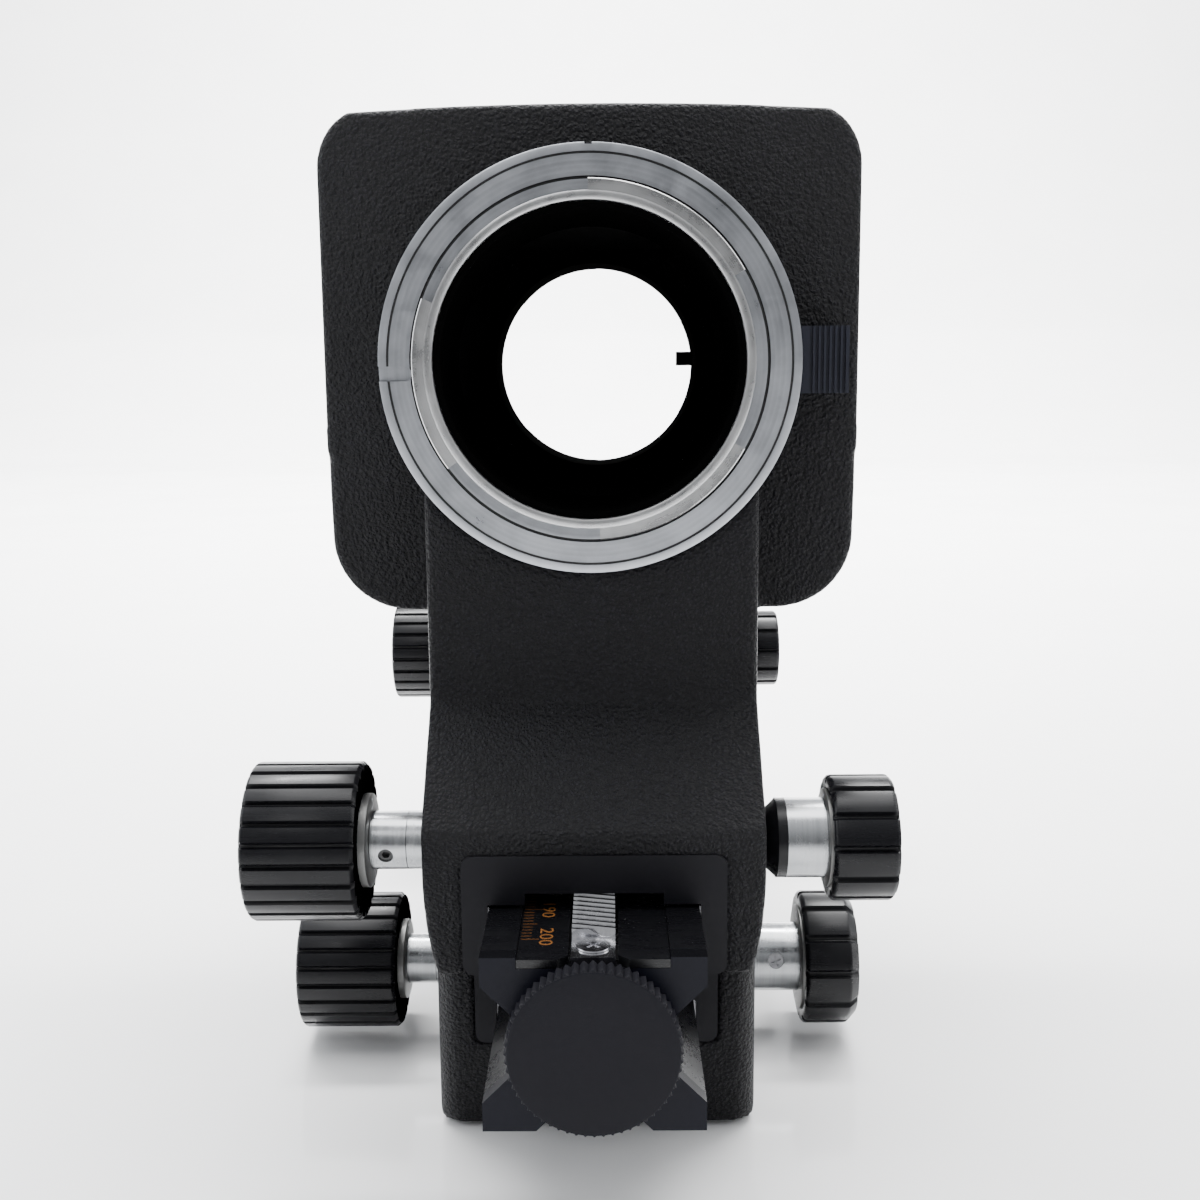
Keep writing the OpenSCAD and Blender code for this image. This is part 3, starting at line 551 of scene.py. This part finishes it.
drive_knob("knob_drive_rear", "rear_drive", REAR_Y, 45, -47.3, -31.0, "rear_drive_knob")
drive_knob("knob_drive_front", "front_drive", FRONT_Y, 45, -47.3, -31.0, "front_drive_knob")
drive_knob("knob_drive_block", "block_drive", 0, 11.8, -48.9, -31.9, "block_drive_knob")
clamp_knob("knob_clamp_rear", "rear_clamp", REAR_Y, 45, 32.0, 41.4, 8.7, "rear_clamp_knob", 0.5)
clamp_knob("knob_clamp_front", "front_clamp", FRONT_Y, 45, 32.0, 41.4, 8.7, "front_clamp_knob", 0.5)
clamp_knob("knob_clamp_block", "block_clamp", 0, 11.8, 33.4, 42.6, 10.85, "block_clamp_knob", 1.5)


# -------------------------------------------------------- end knobs (discs)
def end_disc(name, body, yface, sgn, node):
    """Knurled disc; yface is its outer face and sgn the way it looks."""
    R, nt, per = 11.12, 60, 8
    n = nt * per

    def kn(off, d):
        def f(a):
            t = (a / (2 * math.pi) * nt) % 1.0
            return R - off - d * (1 - abs(2 * t - 1)) ** 1.15
        return f

    c = (0, 27)
    S = lambda v: yface + sgn * v
    rings = [ring_pts("Y", c, S(3.2), 9.4, n), ring_pts("Y", c, S(3.16), kn(0.5, 0.35), n), ring_pts("Y", c, S(3.0), kn(0.1, 0.55), n)]
    rings += [ring_pts("Y", c, S(0.42), kn(0.0, 0.58), n), ring_pts("Y", c, S(0.24), kn(0.12, 0.5), n), ring_pts("Y", c, S(0.14), kn(0.36, 0.2), n)]
    for s, r in ((0.08, 10.72), (0.03, 10.64), (0.0, 10.5), (0.0, 6.0), (0.01, 1.0)):
        rings.append(ring_pts("Y", c, S(s), r, n))
    o = loft(name, rings, DISC, body, angle=33)
    sh = lathe(name + "_shank", "Y", c, [(S(3.1), 1.0), (S(3.1), 2.45), (S(5.5), 2.45), (S(5.6), 2.3), (S(5.6), 1.0)], STEEL, body, 48)
    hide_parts(node)
    return o


end_disc("disc_rear", "rear_knob", -63.9, 1, "rear_end_knob")
end_disc("disc_front", "front_knob", 153.9, -1, "front_end_knob")


# ------------------------------------------------------------------ bellows
def bellows_half(name, ya, yb, first, count, body_b, start, end, seg=0.5):
    """Pleated square tube from ya to yb (mm), first pleat index first of count."""
    hw, depth, th = 31.0, 7.0, 0.8
    rows = []
    n = count * 2
    sub = 4
    for i in range(n * sub + 1):
        t = i / sub
        k = int(math.floor(t)) if t < n else n - 1
        f = t - k
        lo, hi = ((1, 0) if (k + first) % 2 == 0 else (0, 1))
        # folded sheet with small round folds
        v = lo + (hi - lo) * f
        v = 0.5 - 0.5 * math.cos(math.pi * (0.10 + 0.80 * v)) / math.cos(math.pi * 0.10)
        v = (v - 0.5) * 0.98 + 0.5
        rows.append((ya + (yb - ya) * i / (n * sub), hw - depth * v))

    def square(y, h, inset=0.0):
        # Corner fold: each corner is cut across and swells out a little.
        c = 8.2
        pts = []
        for sx, sz, order in ((1, 1, 0), (-1, 1, 1), (-1, -1, 0), (1, -1, 1)):
            a, b = (h - inset, h - c - inset * 0.4), (h - c - inset * 0.4, h - inset)
            seq = [a, b] if order == 0 else [b, a]
            p0, p1 = seq
            for q in range(5):
                w = q / 4
                bul = 0.55 * math.sin(math.pi * w)
                x = p0[0] + (p1[0] - p0[0]) * w
                z = p0[1] + (p1[1] - p0[1]) * w
                pts.append((sx * (x + bul), y, AXZ + sz * (z + bul)))
            nx = {(1, 1): ((h - c), 1), (-1, 1): (None, 0), (-1, -1): (None, 0), (1, -1): (None, 0)}
        return pts

    outer = [square(y, h) for y, h in rows]
    inner = [square(y, h, th) for y, h in rows]
    bm = bmesh.new()
    vo = [[bm.verts.new(Vector(p) * MM) for p in r] for r in outer]
    vi = [[bm.verts.new(Vector(p) * MM) for p in r] for r in inner]
    m_ = len(outer[0])
    for a, b in zip(vo, vo[1:]):
        for i in range(m_):
            j = (i + 1) % m_
            bm.faces.new((a[i], a[j], b[j], b[i]))
    for a, b in zip(vi, vi[1:]):
        for i in range(m_):
            j = (i + 1) % m_
            bm.faces.new((b[i], b[j], a[j], a[i]))
    for o_, i_, flip in ((vo[0], vi[0], True), (vo[-1], vi[-1], False)):
        for i in range(m_):
            j = (i + 1) % m_
            f = (o_[i], o_[j], i_[j], i_[i])
            bm.faces.new(tuple(reversed(f)) if flip else f)
    bmesh.ops.recalc_face_normals(bm, faces=bm.faces)
    o = from_bm(name, bm, CLOTH, None, True, 60)
    # one part follows the rail at the middle, and the end follows its standard
    if body_b == "rear_standard":
        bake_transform(o, "rail", "rear_standard", start=start, end=end)
    else:
        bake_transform(o, "rail", "front_standard", start=start, end=end)
    # an even fold: the shift grows in step with the distance
    co = np.empty(len(o.data.vertices) * 3)
    o.data.vertices.foreach_get("co", co)
    yv = co.reshape(-1, 3)[:, 1]
    w = np.clip((yv - start[1]) / (end[1] - start[1]), 0, 1)
    att = o.data.attributes.get("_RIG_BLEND")
    if att is not None:
        att.data.foreach_set("value", w.astype(np.float32))
    return o


YA, YM, YB = -9.3, MID2 / 2, MID2 + 9.3
h1 = bellows_half("bellows_rear_half", YA, YM, 1, 7, "rear_standard", (0, YM * MM, 0), (0, YA * MM, 0))
h2 = bellows_half("bellows_front_half", YM, YB, 1, 7, "front_standard", (0, YM * MM, 0), (0, YB * MM, 0))
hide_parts("bellows")
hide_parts("bellows")


# ------------------------------------------------------------ camera mount
def boolean(obj, cutter):
    b = obj.modifiers.new("cut", "BOOLEAN")
    b.operation, b.solver, b.object = "DIFFERENCE", "EXACT", cutter
    modify(obj)
    bpy.data.objects.remove(cutter)
    return obj


def cutbox(lo, hi):
    bm = bmesh.new()
    bmesh.ops.create_cube(bm, size=1.0)
    for v in bm.verts:
        v.co = Vector([(lo[i] if v.co[i] < 0 else hi[i]) * MM for i in range(3)])
    me = bpy.data.meshes.new("cut")
    bm.to_mesh(me)
    bm.free()
    return link(bpy.data.objects.new("cut", me))


C0 = (0, AXZ)
flange = lathe("flange_ring", "Y", C0, [
    (-29.9, 22.05), (-32.02, 22.05), (-32.1, 22.2), (-32.1, 24.0), (-31.55, 24.08), (-31.55, 24.30), (-32.02, 24.42), (-32.02, 27.25), (-31.75, 27.36), (-31.75, 27.50),
    (-32.0, 27.58), (-32.02, 28.45), (-31.94, 28.68), (-31.75, 28.75), (-30.7, 28.75), (-30.6, 28.65), (-30.55, 27.6), (-29.9, 27.5)],
    RING, None, 256, angle=30)
slotc = cutbox((-30, -33, AXZ - 2.3), (-25.2, -31.15, AXZ - 0.3))
boolean(flange, slotc)
endc = lathe("endc", "Y", (-25.2, AXZ - 1.3), [(-33, 0.001), (-33, 1.0), (-31.15, 1.0), (-31.15, 0.001)], RING, None, 40)
boolean(flange, endc)
boolean(flange, cutbox((-0.5, -33, AXZ + 28.45), (0.5, -30, AXZ + 30)))
for p in flange.data.polygons:
    p.use_smooth = True
flange.data.set_sharp_from_angle(angle=math.radians(30))
paint(flange, RING)
flange.data.materials.append(DARK_SCREW_AND_PAINTED_SHADE)
# painted shade: the slot walls and the two groove rings of the flange get the dark material
for p in flange.data.polygons:
    c = p.center / MM
    rr = math.hypot(c.x, c.z - AXZ)
    in_slot = c.x < -24.0 and abs(c.z - AXZ + 1.3) < 1.12 and rr > 24.7
    if (in_slot and -31.98 < c.y < -31.1 and abs(p.normal.y) < 0.6) or (24.02 < rr < 24.36 and c.y > -32.0) or (27.30 < rr < 27.54 and -31.95 < c.y < -31.5):
        p.material_index = 1
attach(flange, "camera_mount")
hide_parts("camera_flange")

tube = lathe("bayonet_tube", "Y", C0, [
    (-12.3, 20.7), (-37.3, 20.7), (-37.42, 20.78), (-37.5, 20.95), (-37.5, 21.7), (-37.42, 21.88), (-37.25, 21.95), (-12.3, 22.0)],
    TUBE, "camera_mount", 256, angle=30)
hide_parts("camera_bayonet_tube")


def lug(name, a0, a1, r0, r1, y0, y1, body, mat, c=C0):
    """One bayonet lug: a sector with softened edges."""
    n = max(6, int(abs(a1 - a0) / 2))
    prof = [(r0, y1), (r0, y0), (r1 - 0.12, y0), (r1, y0 + 0.12), (r1, y1 - 0.1), (r1 - 0.1, y1)]
    bm = bmesh.new()
    rows = []
    for k in range(n + 1):
        a = math.radians(a0 + (a1 - a0) * k / n)
        rows.append([bm.verts.new(Vector((c[0] + r * math.cos(a), y, c[1] + r * math.sin(a))) * MM) for r, y in prof])
    for a, b in zip(rows, rows[1:]):
        for i in range(len(prof)):
            j = (i + 1) % len(prof)
            bm.faces.new((a[i], a[j], b[j], b[i]))
    bm.faces.new(rows[0])
    bm.faces.new(list(reversed(rows[-1])))
    bmesh.ops.recalc_face_normals(bm, faces=bm.faces)
    o = from_bm(name, bm, mat, body, True, 30)
    return o


for k, (a0, a1) in enumerate(((30, 90), (159, 216), (273, 330.7))):
    lug(f"camera_lug_{k}", a0, a1, 21.9, 23.5, -37.2, -35.6, "camera_mount", TUBE)


# --------------------------------------------------------------- scale text
def ticks():
    bm = bmesh.new()
    zt = 37.6

    def quad(x0, x1, y0, y1):
        for a, b, c_, d in (((x0, y0), (x1, y0), (x1, y1), (x0, y1)),):
            lo = [bm.verts.new(Vector((p[0], p[1], zt - 0.05)) * MM) for p in (a, b, c_, d)]
            hi = [bm.verts.new(Vector((p[0], p[1], zt + 0.012)) * MM) for p in (a, b, c_, d)]
            bm.faces.new(hi)
            bm.faces.new(list(reversed(lo)))
            for i in range(4):
                j = (i + 1) % 4
                bm.faces.new((lo[i], lo[j], hi[j], hi[i]))

    for k in range(0, 201):
        y = 146.6 - k
        if y < -58.5 or y > 148.5:
            continue
        ln = 2.3 if k % 10 == 0 else (1.9 if k % 5 == 0 else 1.3)
        quad(-9.35, -9.35 + ln, y - 0.05, y + 0.05)
    bmesh.ops.recalc_face_normals(bm, faces=bm.faces)
    o = from_bm("scale_ticks", bm, PAINT, "rail", False)


def numbers():
    obs = []
    for k in range(0, 201, 10):
        cu = bpy.data.curves.new(f"num{k}", "FONT")
        cu.body = str(k)
        cu.size = 2.5 * MM
        cu.align_x, cu.align_y = "CENTER", "CENTER"
        cu.extrude = 0.03 * MM
        cu.space_character = 1.05
        o = link(bpy.data.objects.new(f"num{k}", cu))
        y = 146.6 - k
        y = min(max(y, -52.6), 144.5)
        # the text runs towards -Y, and its tops point to +X
        o.matrix_world = Matrix(((0, 1, 0, -6.2 * MM), (-1.45, 0, 0, y * MM), (0, 0, 1, 37.59 * MM), (0, 0, 0, 1)))
        obs.append(o)
    bpy.context.view_layer.update()
    dg = bpy.context.evaluated_depsgraph_get()
    bm = bmesh.new()
    for o in obs:
        me = bpy.data.meshes.new_from_object(o.evaluated_get(dg))
        me.transform(o.matrix_world)
        bm.from_mesh(me)
        bpy.data.meshes.remove(me)
        bpy.data.objects.remove(o)
    t = from_bm("scale_numbers", bm, PAINT, "rail", False)


ticks()
numbers()

# ------------------------------------------------------- carried CAD nodes
for name, mat, bev in (
    ("rail_extrusion", RAILM, 0.22), ("rail_scale_plates", RAILM, 0.10), ("rail_rear_cap", CAPM, 0.25), ("rail_front_cap", CAPM, 0.25),
    ("rail_upper_rack", RACK, 0.0), ("rail_lower_rack", RACK, 0.0), ("rail_rack_screws", RACK, 0.08),
    ("block_end_plates", SATIN, 0.15), ("rear_standard_plates", SATIN, 0.10), ("front_standard_plates", SATIN, 0.10),
    ("block_gibs", STEEL, 0.1), ("rear_standard_gibs", STEEL, 0.1), ("front_standard_gibs", STEEL, 0.1), ("tripod_bush", BRIGHT_B, 0.15),
    ("block_drive_bush", BRIGHT_B, 0.15), ("rear_drive_bush", BRIGHT_R, 0.15), ("front_drive_bush", BRIGHT_F, 0.15),
    ("block_clamp_cone", KNOB, 0.1), ("rear_clamp_cone", KNOB, 0.12), ("front_clamp_cone", KNOB, 0.12),
    ("block_clamp_shoe", STEEL, 0.2), ("rear_clamp_shoe", STEEL, 0.2), ("front_clamp_shoe", STEEL, 0.2),
    ("block_drive_pinion", STEEL, 0.0), ("rear_drive_pinion", STEEL, 0.0), ("front_drive_pinion", STEEL, 0.0),
    ("block_drive_collar", BRIGHT_B, 0.18), ("rear_drive_collar", BRIGHT_R, 0.18), ("front_drive_collar", BRIGHT_F, 0.18),
    ("rear_drive_screw", DARK_SCREW_AND_PAINTED_SHADE, 0.05), ("block_sleeve_screw", STEEL, 0.08), ("block_clamp_screw", STEEL, 0.2), ("rear_clamp_screw", STEEL, 0.2), ("front_clamp_screw", STEEL, 0.2),
    ("block_clamp_sleeve", BRIGHT_B, 0.2), ("rear_clamp_sleeve", BRIGHT_R, 0.2), ("front_clamp_sleeve", BRIGHT_F, 0.2),
    ("camera_light_baffle", BLACK_BAFFLE_AND_PAINTED_SHADOW, 0.1), ("mount_retaining_ring", STEEL, 0.1), ("mount_release_lever", LEVER, 0.12),
    ("bellows_rear_frame", FRAMEP, 0.3), ("bellows_front_frame", FRAMEP, 0.3), ("lens_mount_ring", RINGF, 0.12),
    ("lens_mount_screws", STEEL, 0.08), ("lens_light_baffle", BLACK_BAFFLE_AND_PAINTED_SHADOW, 0.1), ("lens_lock_button", TUBE, 0.25)):
    if name not in NODES:
        continue
    o = NODES[name]
    paint(o, mat)
    if bev:
        soften(o, bev)

# ---------------------------------------------------- table, light, backdrop
bpy.ops.mesh.primitive_grid_add(x_subdivisions=24, y_subdivisions=40, size=1)
floor = bpy.context.object
floor.name = "table_and_backdrop"
for v in floor.data.vertices:
    x, y = v.co.x * 5.0, v.co.y
    t = (y + 0.5)
    if t < 0.7:
        yy, zz = -1.2 + t / 0.7 * 2.7, 0.0
    else:
        a = (t - 0.7) / 0.3 * math.pi / 2
        yy, zz = 1.5 + 1.2 * math.sin(a), 1.2 - 1.2 * math.cos(a)
    v.co = Vector((x, yy, zz - 0.0009))
for p in floor.data.polygons:
    p.use_smooth = True
paint(floor, make_floor())


def area(name, loc, target, size, power, size_y=None, color=(1, 1, 1)):
    d = bpy.data.lights.new(name, "AREA")
    d.energy, d.size, d.color = power, size, color
    if size_y:
        d.shape, d.size_y = "RECTANGLE", size_y
    o = link(bpy.data.objects.new(name, d))
    o.location = loc
    o.rotation_euler = (Vector(target) - Vector(loc)).to_track_quat("-Z", "Y").to_euler()
    return o


area("top", (0.0, 0.16, 0.80), (0, 0.03, 0.05), 0.8, 12.0, 0.8)
area("left", (-0.80, 0.02, 0.40), (0, 0, 0.08), 0.5, 4.0, 0.9, (0.93, 0.96, 1.0))
area("right", (0.85, 0.05, 0.45), (0, 0, 0.08), 0.5, 3.4, 0.9)
area("front", (-0.35, -0.75, 0.80), (0, -0.02, 0.09), 0.35, 0.9, 0.35)
area("backdrop", (0.0, 0.75, 1.3), (0, 1.9, 0.35), 1.6, 300, 1.0)
world = bpy.data.worlds.new("world")
bpy.context.scene.world = world
world.use_nodes = True
wt = world.node_tree
bg = wt.nodes["Background"]
tc = wt.nodes.new("ShaderNodeTexCoord")
sp = wt.nodes.new("ShaderNodeSeparateXYZ")
wt.links.new(tc.outputs["Generated"], sp.inputs[0])
# a room: dim behind the camera, bright above and beyond
ya = wt.nodes.new("ShaderNodeMapRange")
ya.inputs["From Min"].default_value, ya.inputs["From Max"].default_value = -1.0, 0.6
ya.inputs["To Min"].default_value, ya.inputs["To Max"].default_value = 0.06, 1.0
wt.links.new(sp.outputs["Y"], ya.inputs["Value"])
za = wt.nodes.new("ShaderNodeMapRange")
za.inputs["From Min"].default_value, za.inputs["From Max"].default_value = -0.2, 0.9
za.inputs["To Min"].default_value, za.inputs["To Max"].default_value = 0.0, 0.75
wt.links.new(sp.outputs["Z"], za.inputs["Value"])
ad = wt.nodes.new("ShaderNodeMath")
wt.links.new(ya.outputs["Result"], ad.inputs[0])
wt.links.new(za.outputs["Result"], ad.inputs[1])
bg.inputs["Color"].default_value = (0.95, 0.97, 1.0, 1)
wt.links.new(ad.outputs[0], bg.inputs["Strength"])
